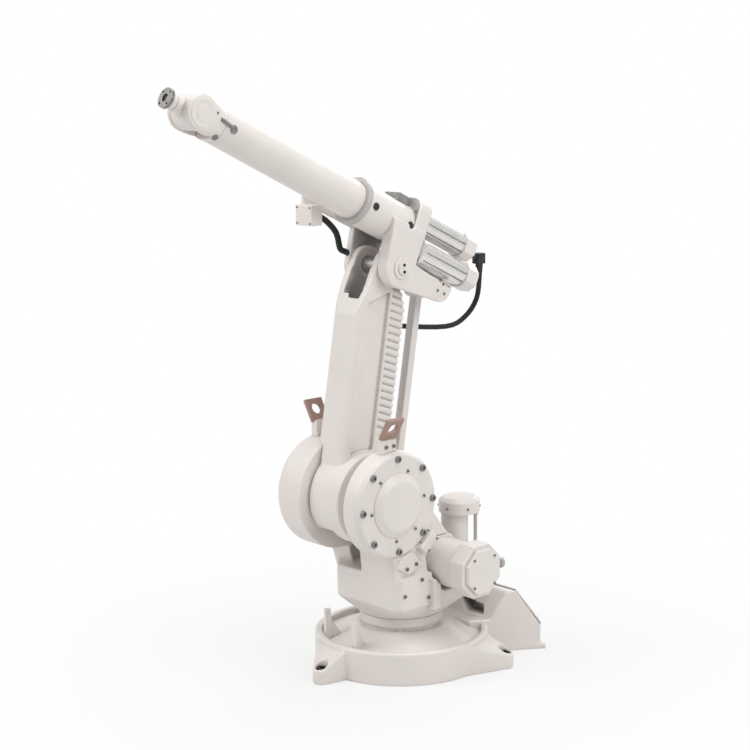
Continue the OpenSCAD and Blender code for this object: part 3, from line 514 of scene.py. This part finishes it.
def lay_rear_cable():
    """The loop from the plug on the upper arm to the gland on the lower arm, which bends with axis 3."""
    start, end = REAR_CABLE_EXIT, LOWER_GLAND_MOUTH
    rear = smooth_path([start, start + world(-3, -2, -22), start + world(-6, -16, -86),
                        start + world(18, -38, -136), start + world(72, -56, -158),
                        end + ahead(LEAN, -70, -4) + world(0, 4, 0), end + ahead(LEAN, -16, 0), end], 4)
    mesh = Fitting().bent(rear, 7, -Z, ahead(LEAN, 1, 0)).mesh("rear_cable_jacket", 60)
    mesh.materials.append(CABLE_JACKET)
    piece = bpy.data.objects.new("rear_cable_jacket", mesh)
    scene.collection.objects.link(piece)
    # The upper arm's share grows along the cable, so that no turn of the loop is flattened. Each point is
    # moved to its share on a line from 0 to 1, with the blend's own easing undone, and put back after the
    # call: start and end are shares here and not places in the frame.
    length = path_length(rear)
    from_gland = [path_length(rear[i:]) for i in range(len(rear))]
    places = [vertex.co.copy() for vertex in mesh.vertices]
    for vertex in mesh.vertices:
        nearest = min(range(len(rear)), key=lambda i: (rear[i] - vertex.co).length)
        past_hold = (from_gland[nearest] / length - GLAND_HOLD) / (1 - GLAND_HOLD)
        share = min(1.0, max(0.0, past_hold)) ** SHARE_POWER
        vertex.co = (0.5 - math.sin(math.asin(1 - 2 * share) / 3), 0, 0)
    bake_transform(piece, "lower_arm", "upper_arm", start=(0, 0, 0), end=(1, 0, 0))
    for vertex, place in zip(mesh.vertices, places):
        vertex.co = place
    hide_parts("rear_cable")


lay_front_cable()
lay_rear_cable()


# Castings, covers and motors with softened edges: grain in mm, smoothing rounds, share of faces kept

COARSE_GRAIN = 2.4  # castings above it are large enough to have closed-in corners, which get painted shade

for node, grain, rounds, keep in (
    ("base_casting", 3.0, 8, 0.4), ("rear_housing", 3.0, 6, 0.35), ("turret_frame", 3.0, 8, 0.4),
    ("lower_arm_casting", 2.6, 5, 0.45), ("upper_arm_housing", 2.5, 7, 0.45), ("crank_lever", 2.0, 5, 0.4),
    ("linkage_rod", 2.0, 4, 0.4), ("wrist_fork", 1.6, 5, 0.5), ("wrist_housing", 1.6, 5, 0.5),
    ("stop_posts", 1.2, 4, 0.5), ("lug_feet", 1.5, 4, 0.5), ("axis3_gearbox", 2.5, 4, 0.4),
    ("axis2_gearbox", 2.2, 4, 0.4),
):
    soft_casting(node, grain, rounds, keep, PAINT, grain > COARSE_GRAIN)

for node, grain, rounds, keep in (
    ("rear_cover", 1.8, 3, 0.3), ("axis2_cover", 1.5, 4, 0.4), ("axis3_cover", 1.5, 4, 0.4),
    ("axis2_motor", 2.0, 5, 0.4), ("axis3_motor", 2.0, 5, 0.4), ("axis2_motor_cap", 1.6, 5, 0.4),
    ("axis3_motor_cap", 1.6, 5, 0.4), ("axis1_motor", 1.6, 4, 0.4), ("axis1_motor_cap", 1.5, 5, 0.4),
    ("elbow_cap", 0.9, 4, 0.5), ("rear_motor_caps", 1.2, 4, 0.4), ("signal_box", 1.2, 4, 0.5),
):
    soft_casting(node, grain, rounds, keep, COVER_PAINT)

for node in ("left_lifting_lug", "right_lifting_lug"):
    soft_casting(node, 0.9, 3, 0.5, LUG_PAINT)
# The front collar in darker grey: painted shade.
soft_casting("front_collar", 1.3, 3, 0.5, COLLAR_PAINTED_SHADE_GREY)
# The top box in dark grey: painted shade.
soft_casting("top_box", 1.0, 4, 0.5, GREY_MOULDING_PAINTED_SHADE_AND_REFLECTION)

for node, material in (
    ("turning_ring", PAINT), ("elbow_shaft", STEEL), ("crank_pin", STEEL), ("ear_pin", STEEL),
    ("tool_flange", DARK_STEEL), ("rear_gasket", GASKET), ("cable_sockets", SOCKET_METAL),
    ("axis1_connector", SOCKET_METAL), ("side_plugs", BLACK_MOULDING),
    ("rear_connector", BLACK_MOULDING), ("lower_gland", BLACK_MOULDING), ("front_glands", BLACK_MOULDING),
    ("forearm_tube", PAINT),
):
    mesh = frame["nodes"][node].data
    mesh.materials.clear()
    mesh.materials.append(material)


# Bolts: heads set on marked points by one node tree

def bolt_tree():
    """Socket-head bolts on the points of a mesh, each turned to its point's facing direction."""
    tree = bpy.data.node_groups.new("bolt_heads", "GeometryNodeTree")
    face = tree.interface
    face.new_socket("Geometry", in_out="INPUT", socket_type="NodeSocketGeometry")
    sizes = {}
    for name, kind in (("Head Radius", "Float"), ("Head Height", "Float"), ("Finish", "Material")):
        item = face.new_socket(name, in_out="INPUT", socket_type="NodeSocket" + kind)
        sizes[name] = item.identifier
    face.new_socket("Geometry", in_out="OUTPUT", socket_type="NodeSocketGeometry")
    new, link = tree.nodes.new, tree.links.new
    start, end = new("NodeGroupInput"), new("NodeGroupOutput")

    def scaled(name, factor):
        node = new("ShaderNodeMath")
        node.operation = "MULTIPLY"
        link(start.outputs[name], node.inputs[0])
        node.inputs[1].default_value = factor
        return node.outputs[0]

    disc = new("GeometryNodeMeshCircle")
    disc.fill_type = "NGON"
    disc.inputs["Vertices"].default_value = 18
    link(start.outputs["Head Radius"], disc.inputs["Radius"])
    mesh, top = disc.outputs["Mesh"], None
    # Side, chamfer, rim and socket: the rise as a share of the height, then the new width of the top
    for rise, spread in ((0.8, None), (0.2, 0.86), (0.0, 0.55), (-0.55, None)):
        pull = new("GeometryNodeExtrudeMesh")
        pull.inputs["Individual"].default_value = False
        link(mesh, pull.inputs["Mesh"])
        if top:
            link(top, pull.inputs["Selection"])
        link(scaled("Head Height", rise), pull.inputs["Offset Scale"])
        mesh, top = pull.outputs["Mesh"], pull.outputs["Top"]
        if spread:
            shrink = new("GeometryNodeScaleElements")
            link(mesh, shrink.inputs["Geometry"])
            link(top, shrink.inputs["Selection"])
            shrink.inputs["Scale"].default_value = spread
            mesh = shrink.outputs["Geometry"]
    facing = new("GeometryNodeInputNamedAttribute")
    facing.data_type = "FLOAT_VECTOR"
    facing.inputs["Name"].default_value = "facing"
    turn = new("FunctionNodeAlignRotationToVector")
    turn.axis = "Z"
    link(facing.outputs["Attribute"], turn.inputs["Vector"])
    points = new("GeometryNodeInstanceOnPoints")
    link(start.outputs["Geometry"], points.inputs["Points"])
    link(mesh, points.inputs["Instance"])
    link(turn.outputs["Rotation"], points.inputs["Rotation"])
    real = new("GeometryNodeRealizeInstances")
    link(points.outputs["Instances"], real.inputs["Geometry"])
    paint = new("GeometryNodeSetMaterial")
    link(real.outputs["Geometry"], paint.inputs["Geometry"])
    link(start.outputs["Finish"], paint.inputs["Material"])
    link(paint.outputs["Geometry"], end.inputs["Geometry"])
    return tree, sizes


BOLT_TREE, BOLT_SIZES = bolt_tree()


def set_bolts(name, body, spots, radius, height, material=BOLT_ZINC):
    """Bolt heads of one size on one body: spots are (place, outward direction)."""
    mesh = bpy.data.meshes.new(name + "_points")
    mesh.from_pydata([tuple(p) for p, _ in spots], [], [])
    layer = mesh.attributes.new("facing", "FLOAT_VECTOR", "POINT")
    layer.data.foreach_set("vector", [c for _, way in spots for c in way])
    holder = bpy.data.objects.new(name + "_points", mesh)
    scene.collection.objects.link(holder)
    nodes = holder.modifiers.new("bolts", "NODES")
    nodes.node_group = BOLT_TREE
    sizes = (("Head Radius", radius / 1000), ("Head Height", height / 1000), ("Finish", material))
    for label, value in sizes:
        nodes[BOLT_SIZES[label]] = value
    mesh = plain_mesh(holder, name)
    shape = bmesh.new()
    shape.from_mesh(mesh)
    bmesh.ops.recalc_face_normals(shape, faces=shape.faces)
    shape.to_mesh(mesh)
    shape.free()
    mesh.shade_flat()
    add_piece(name, mesh, body, material)


def ring(centre, a, b, way, radius, angles):
    """Spots on a circle round centre in the plane of the unit directions a and b."""
    return [(centre + radius / 1000 * (math.cos(math.radians(t)) * a + math.sin(math.radians(t)) * b), way)
            for t in angles]


# Base: floor bolts, cover screws, pins in the two sockets

def dress_base():
    bolt_circle, foot_top = 285, 32
    bolts = Fitting()
    for turn in (0, 120, 240):
        t = math.radians(turn)
        foot = world(bolt_circle * math.cos(t), bolt_circle * math.sin(t), foot_top)
        bolts.turned(foot, Z, [(15, -1), (15, 2), (14.4, 2.6), (12.2, 2.6), (12, 8.5), (11, 9.6), (6.5, 9.6),
                               (6.5, 4), (0, 4)])
    add_piece("floor_bolts", bolts.mesh("floor_bolts"), "base", BLACK_BOLT)

    cover_run, cover_drop = 62, 102
    slope = Vector((-cover_run, 0, -cover_drop)).normalized()
    out = Vector((-cover_drop, 0, cover_run)).normalized()
    crest = world(-260, 0, 170) + out * 0.0089
    spots = [(crest + slope * along / 1000 + Y * share * half / 1000, out)
             for along, half in ((12, 160), (107, 196)) for share in (-1, -0.5, 0, 0.5, 1)]
    spots += [(crest + slope * 0.06 + Y * side * 0.178, out) for side in (-1, 1)]
    set_bolts("rear_cover_screws", "base", spots, 4.5, 3.5)

    # Eight pins in a circle and one in the middle
    pin_circle = 0.009
    pins = Fitting()
    for side in (-1, 1):
        middle = world(-328.1, side * 64.2, 38.1)
        pins.turned(middle, -X, [(14.6, 0), (14.6, 4), (13.8, 4.6), (0, 4.6)])
        for k in range(9):
            t = 2 * math.pi * k / 8
            reach = pin_circle if k < 8 else 0
            pins.turned(middle + reach * (math.cos(t) * Y + math.sin(t) * Z), -X,
                        [(1.3, 4), (1.3, 7.4), (0.8, 8), (0, 8)], 10)
    add_piece("socket_pins", pins.mesh("socket_pins"), "base", BLACK_MOULDING)


dress_base()


# Turret: bolts of the gearboxes, covers, motors, lugs and casting, and the side motors' plugs

def dress_turret():
    motor_x, motor_z, screw_half = -45, 285, 37
    set_bolts("axis2_gearbox_bolts", "turret",
              ring(on_axis2(151.6), X, Z, Y, 121, range(0, 360, 45)), 9, 7)
    set_bolts("axis3_gearbox_bolts", "turret",
              ring(on_axis2(-163.6), X, Z, -Y, 104, range(0, 360, 30)), 6.5, 6)
    set_bolts("axis2_cover_screws", "turret",
              ring(on_axis2(151.7), X, Z, Y, 92, (-5, 49, 112, 173, 230, 275)), 4.2, 3.6)
    set_bolts("axis3_cover_screws", "turret",
              ring(on_axis2(-177.7), X, Z, -Y, 66, range(30, 390, 60)), 4.2, 3.4)
    for name, y, way in (("axis2_cap_screws", 267.7, Y), ("axis3_cap_screws", -263.7, -Y)):
        corners = [(world(motor_x + a * screw_half, y, motor_z + b * screw_half), way)
                   for a in (-1, 1) for b in (-1, 1)]
        set_bolts(name, "turret", corners, 3.6, 3)
    set_bolts("casting_bolts", "turret",
              [(world(65, 147.6, 262), Y), (world(42, 147.6, 210), Y), (world(126, 147.6, 229), Y),
               (world(117, 146.6, 300), Y), (world(84, 146.6, 308), Y)], 5.2, 4.6)
    set_bolts("junction_screws", "turret",
              [(world(51 + x, 159.6, 367 + z), Y) for x, z in ((-29, 0), (1, 27), (-1, -27), (29, 0))],
              3, 2.4)
    cap_radius = 55.6
    set_bolts("motor1_cap_screws", "turret",
              [(world(-181 + cap_radius * math.cos(t), 41 + cap_radius * math.sin(t), 398),
                X * math.cos(t) + Y * math.sin(t))
               for t in (math.radians(10 + 60 * k) for k in range(6))], 3.4, 2.6)
    set_bolts("motor1_flange_bolts", "turret",
              ring(world(-172, 32, 288.7), X, Y, Z, 40.2, range(20, 380, 90)), 3, 4)
    set_bolts("lug_foot_bolts", "turret",
              [(world(164 + x, side * 137.7, 475 + r + 14), side * Y)
               for side, r in ((1, 140), (-1, 150)) for x in (-13, 13)], 5, 4.5)

    plugs = Fitting()
    for y in (232, -228):
        plugs.turned(world(-113.6, y, motor_z), -X,
                     [(17, 0), (17, 5), (13, 5.6), (13, 17), (15.5, 18), (15.5, 30), (14.6, 31), (11, 31),
                      (11, 26), (0, 26)])
        for k in range(6):
            t = 2 * math.pi * k / 6
            plugs.turned(world(-139.6, y + 6 * math.cos(t), motor_z + 6 * math.sin(t)), -X,
                         [(1.2, 0), (1.2, 3.2), (0, 3.8)], 8)
    add_piece("side_motor_plugs", plugs.mesh("side_motor_plugs"), "turret", SOCKET_METAL)


dress_turret()


# Upper arm: fluted motors with painted reflection bands, screws, a grey plate on the rear block as painted
# shade, and strain reliefs

def dress_upper_arm():
    front, back = upper_way(1, 0, 0), upper_way(-1, 0, 0)
    shells, reflection_sleeves = Fitting(), Fitting()
    for y, z in REAR_MOTORS:
        seat = barrel(-46, y, z)
        shells.turned(seat, back, [(37, 0), (37, 10.5), (35.6, 12), (31, 12)], 48)
        shells.turned(seat, back, [(31.4, 12), (32, 13), (32, 176.6), (31.4, 177.6)], 64, 3.5)
        # Dark sleeves under the shells show through the flutes as dark lengthwise bands: painted reflection.
        reflection_sleeves.turned(seat, back, [(30.2, 12), (30.2, 177.4)], 48)
    piece = add_piece("rear_motor_shells", shells.mesh("rear_motor_shells", 30), "upper_arm", MOTOR_ALLOY)
    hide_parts("rear_motors")
    add_piece("rear_motor_painted_reflection_sleeves", reflection_sleeves.mesh("rear_motor_painted_reflection_sleeves"), "upper_arm", GREY_MOULDING_PAINTED_SHADE_AND_REFLECTION)
    set_bolts("rear_cap_screws", "upper_arm",
              [(barrel(-269.7, y + a * 19, z + b * 19), back)
               for y, z in REAR_MOTORS for a in (-1, 1) for b in (-1, 1)], 2.6, 2.2)
    set_bolts("elbow_cap_screws", "upper_arm",
              [(upper(x, 72.6, z), Y) for x, z in ((4, 8), (-4, -8))], 4, 2.4, BLACK_BOLT)
    set_bolts("rear_block_bolts", "upper_arm",
              [(barrel(-1.4, y, z), front) for y in (-50, 50) for z in (-50, 42)], 4.4, 4)
    half, foot, corner, corner_up = 62, -40, 34, 48
    crown = [(half - corner + corner * math.cos(t), corner_up + corner * math.sin(t))
             for t in (math.radians(a) for a in range(0, 91, 15))]
    outline = [(half, foot), *crown, *((-y, z) for y, z in reversed(crown)), (-half, foot)]
    # A thin grey plate darkens the rear block's front face: painted shade.
    painted_shade_plate = Fitting().plate([barrel(-1.2, y, z) for y, z in outline], front, [(5, 0), (5, 1.2), (6, 1.8)])
    add_piece("rear_block_painted_shade_plate", painted_shade_plate.mesh("rear_block_painted_shade_plate"), "upper_arm", PAINTED_SHADE_PLATE_GREY)
    set_bolts("ear_plate_bolts", "upper_arm",
              [(upper(x, 62.7, z), Y) for x, z in ((-158, 14), (-171, -8), (-145, -8))], 3.6, 3)
    set_bolts("signal_box_screws", "upper_arm",
              [(upper(238, 0, 15) + world(0.2, y, z), X) for y in (-100, -50) for z in (6, 46)], 2.4, 1.8)

    sleeves = Fitting()
    for place, way, r in ((FRONT_CABLE_EXIT, -X, 8), (REAR_CABLE_EXIT, -Z, 7)):
        sleeves.turned(place, way, [(r + 4.4, -7), (r + 4.4, -0.6), (r + 3.6, 0)], 6)
        sleeves.turned(place, way, [(r + 2.4, -1), (r + 2.2, 4), (r + 1.4, 4), (r + 1.4, 5.5), (r + 2.1, 5.5),
                                    (r + 1.9, 9), (r + 1.1, 9), (r + 1.1, 10.5), (r + 1.7, 10.5),
                                    (r + 1.1, 14)], 24)
    add_piece("cable_sleeves", sleeves.mesh("cable_sleeves"), "upper_arm", BLACK_MOULDING)
    place, way = LOWER_GLAND_MOUTH, lower_way(-1, 0, 0)
    sleeve = Fitting().turned(place, way, [(11, -7), (11, -0.6), (10.2, 0)], 6)
    sleeve.turned(place, way, [(9.4, -1), (9.2, 4), (8.4, 4), (8.4, 5.5), (9, 5.5), (8.8, 9), (8.1, 12)], 24)
    add_piece("lower_cable_sleeve", sleeve.mesh("lower_cable_sleeve"), "lower_arm", BLACK_MOULDING)


dress_upper_arm()


# Forearm and wrist: stepped covers on the wrist bearings, a sleeve on the tool's hub, plugs in the head

def dress_forearm():
    covers = Fitting()
    for side in (-1, 1):
        covers.turned(barrel(720, side * 41.6, 0), side * Y,
                      [(35, 0), (35, 1.4), (34, 2.2), (27, 2.2), (26, 1.2), (19, 1.2), (18, 2.4), (4, 2.4),
                       (3, 1), (0, 1)], 64)
    add_piece("wrist_covers", covers.mesh("wrist_covers"), "forearm", COVER_PAINT)
    sleeve = Fitting().turned(barrel(780.2, 0, 0), upper_way(1, 0, 0),
                              [(19.2, 0), (20.2, 0.8), (20.2, 14.6), (19.2, 15.4)], 48)
    add_piece("tool_hub_sleeve", sleeve.mesh("tool_hub_sleeve"), "tool", COVER_PAINT)
    plugs = Fitting()
    for x, y, z, r in ((626, 46.4, -1, 10.5), (661, 33, -36, 8.5), (683, 44.5, 16, 3)):
        plugs.turned(barrel(x, y, z), upper_way(0, y, z),
                     [(r, -3), (r, 1.2), (r - 0.7, 1.9), (r * 0.5, 1.9), (r * 0.45, 0.9), (0, 0.9)], 24)
    lead = smooth_path([barrel(634, 46.6, 1), barrel(642, 48.4, 2.5), barrel(652, 48.2, 4),
                        barrel(662, 47.2, 5.5), barrel(668, 44.5, 6.5)], 4)
    plugs.bent(lead, 4.6, upper_way(1, 0.2, 0), upper_way(1, -0.5, 0), 12)
    add_piece("forearm_plugs", plugs.mesh("forearm_plugs"), "forearm", GREY_MOULDING_PAINTED_SHADE_AND_REFLECTION)


dress_forearm()


# Studio: pale floor, soft light, white background

GLOSSY_SHARE = 0.3
FLOOR_HALF, FLOOR_DROP = 20, 0.0005  # metres


def ray_share(nodes, links):
    """1 for camera and transmission rays, GLOSSY_SHARE for glossy ones, 0 for the rest."""
    path = nodes.new("ShaderNodeLightPath")

    def joined(way, a, b):
        node = nodes.new("ShaderNodeMath")
        node.operation = way
        for value, socket in zip((a, b), node.inputs):
            if isinstance(value, float):
                socket.default_value = value
            else:
                links.new(value, socket)
        return node.outputs[0]

    glossy = joined("MULTIPLY", path.outputs["Is Glossy Ray"], GLOSSY_SHARE)
    seen = joined("MAXIMUM", path.outputs["Is Camera Ray"], path.outputs["Is Transmission Ray"])
    return joined("MAXIMUM", seen, glossy)


def build_studio():
    sky = bpy.data.worlds.new("studio_white")
    sky.use_nodes = True
    scene.world = sky
    nodes, links = sky.node_tree.nodes, sky.node_tree.links
    back, soft = nodes["Background"], nodes.new("ShaderNodeBackground")
    for node, colour, strength in ((back, (1, 1, 1, 1), 1.0), (soft, (1, 0.99, 0.98, 1), 0.57)):
        node.inputs["Color"].default_value = colour
        node.inputs["Strength"].default_value = strength
    pick = nodes.new("ShaderNodeMixShader")
    links.new(ray_share(nodes, links), pick.inputs[0])
    links.new(soft.outputs[0], pick.inputs[1])
    links.new(back.outputs[0], pick.inputs[2])
    links.new(pick.outputs[0], nodes["World Output"].inputs["Surface"])

    paper = bpy.data.materials.new("floor_paper")
    paper.use_nodes = True
    nodes, links = paper.node_tree.nodes, paper.node_tree.links
    lit = nodes["Principled BSDF"]
    lit.inputs["Base Color"].default_value = (0.74, 0.735, 0.73, 1)
    lit.inputs["Roughness"].default_value = 0.9
    glow = nodes.new("ShaderNodeEmission")
    glow.inputs["Strength"].default_value = 1.0
    pick = nodes.new("ShaderNodeMixShader")
    # The paper fades into the white background away from the base
    spot = nodes.new("ShaderNodeVectorMath")
    spot.operation = "LENGTH"
    links.new(nodes.new("ShaderNodeTexCoord").outputs["Object"], spot.inputs[0])
    fade = nodes.new("ShaderNodeMapRange")
    for name, value in (("From Min", 0.35), ("From Max", 1.3), ("To Min", 0.72), ("To Max", 1.0)):
        fade.inputs[name].default_value = value
    links.new(spot.outputs["Value"], fade.inputs["Value"])
    share = nodes.new("ShaderNodeMath")
    share.operation = "MULTIPLY"
    links.new(ray_share(nodes, links), share.inputs[0])
    links.new(fade.outputs["Result"], share.inputs[1])
    links.new(share.outputs[0], pick.inputs[0])
    links.new(lit.outputs[0], pick.inputs[1])
    links.new(glow.outputs[0], pick.inputs[2])
    links.new(pick.outputs[0], nodes["Material Output"].inputs["Surface"])
    mesh = bpy.data.meshes.new("floor")
    corners = [(a * FLOOR_HALF, b * FLOOR_HALF, 0) for a, b in ((-1, -1), (1, -1), (1, 1), (-1, 1))]
    mesh.from_pydata(corners, [], [(0, 1, 2, 3)])
    mesh.materials.append(paper)
    floor = bpy.data.objects.new("floor", mesh)
    floor.location.z = -FLOOR_DROP
    scene.collection.objects.link(floor)

    for name, place, aim, size, watts in (
        ("front_softbox", (3.0, -1.6, 3.4), (0.1, 0, 0.9), 2.0, 66),
        ("side_softbox", (-0.5, 3.0, 2.7), (0.1, 0, 1.2), 1.8, 37),
        ("top_softbox", (-0.2, 0.6, 4.2), (0, 0, 0.6), 2.2, 42),
        ("rear_softbox", (-3.6, -1.6, 2.4), (0, 0, 0.7), 2.2, 34),
    ):
        data = bpy.data.lights.new(name, "AREA")
        data.shape, data.size, data.energy = "SQUARE", size, watts
        lamp = bpy.data.objects.new(name, data)
        lamp.location = place
        lamp.rotation_euler = (Vector(aim) - Vector(place)).to_track_quat("-Z", "Y").to_euler()
        scene.collection.objects.link(lamp)
    scene.view_settings.view_transform = "Standard"


build_studio()
